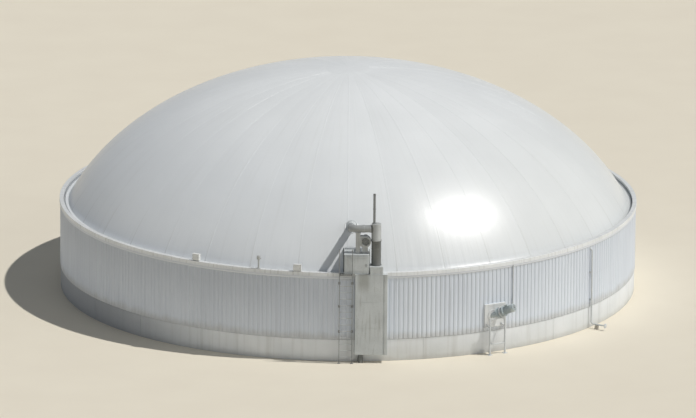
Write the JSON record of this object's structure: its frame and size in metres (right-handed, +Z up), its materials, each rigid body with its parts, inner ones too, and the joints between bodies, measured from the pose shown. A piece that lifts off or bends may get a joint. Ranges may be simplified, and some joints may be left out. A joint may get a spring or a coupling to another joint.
{
  "type": "biogas digester tank with a domed membrane roof",
  "caption": "Round insulated concrete digester tank with ribbed cladding, a domed membrane roof, a ladder, a service box with relief valve, a side agitator and a gas pipe.",
  "frame": {"origin": "on the tank's axis at ground level, at the underside of the floor slab", "axes": "+Z up along the tank's axis, -Y towards the side with the ladder and service box, +X to the right when facing that side"},
  "size_m": [24.86, 25.22, 9.55],
  "materials": {
    "concrete": "cast concrete, matt",
    "plinth_render": "rendered concrete plinth, matt",
    "cladding_sheet": "ribbed sheet with a light grey coil coating",
    "flashing_sheet": "folded sheet, light grey, satin",
    "membrane": "coated weather membrane, off-white, satin",
    "galvanised_steel": "hot-dip galvanised, weathered",
    "casing_sheet": "plain folded sheet, mid grey",
    "dark_plastic": "dark grey pipe, matt",
    "dark_paint": "dark grey paint, satin",
    "machine_paint": "blue-grey machine paint, satin"
  },
  "bodies": {
    "root": {"floor_slab": "concrete", "tank_wall_1": "concrete", "tank_wall_2": "concrete", "tank_wall_3": "concrete", "tank_wall_4": "concrete", "tank_wall_5": "concrete", "tank_wall_6": "concrete", "plinth_1": "plinth_render", "plinth_2": "plinth_render", "plinth_3": "plinth_render", "plinth_4": "plinth_render", "wall_cladding_1": "cladding_sheet", "wall_cladding_2": "cladding_sheet", "wall_cladding_3": "cladding_sheet", "wall_cladding_4": "cladding_sheet", "wall_cladding_5": "cladding_sheet", "wall_cladding_6": "cladding_sheet", "rim_capping_1": "flashing_sheet", "rim_capping_2": "flashing_sheet", "rim_capping_3": "flashing_sheet", "rim_capping_4": "flashing_sheet", "outer_membrane": "membrane", "clamp_rail": "galvanised_steel", "ladder": "galvanised_steel", "ladder_landing": "galvanised_steel", "riser_casing": "casing_sheet", "riser_pipe": "dark_plastic", "service_box": "casing_sheet", "service_box_lid": "galvanised_steel", "blower_housing": "dark_paint", "blower_motor": "dark_paint", "support_air_duct": "dark_plastic", "duct_collar": "casing_sheet", "valve_saddle": "casing_sheet", "relief_valve": "dark_paint", "vent_pipe": "galvanised_steel", "agitator_plate": "casing_sheet", "agitator_gearbox": "machine_paint", "agitator_motor": "machine_paint", "agitator_stand": "galvanised_steel", "cable_conduit": "galvanised_steel", "gas_pipe": "galvanised_steel", "rim_box_1": "flashing_sheet", "rim_box_2": "flashing_sheet", "level_probe": "dark_paint"}
  },
  "joints": []
}
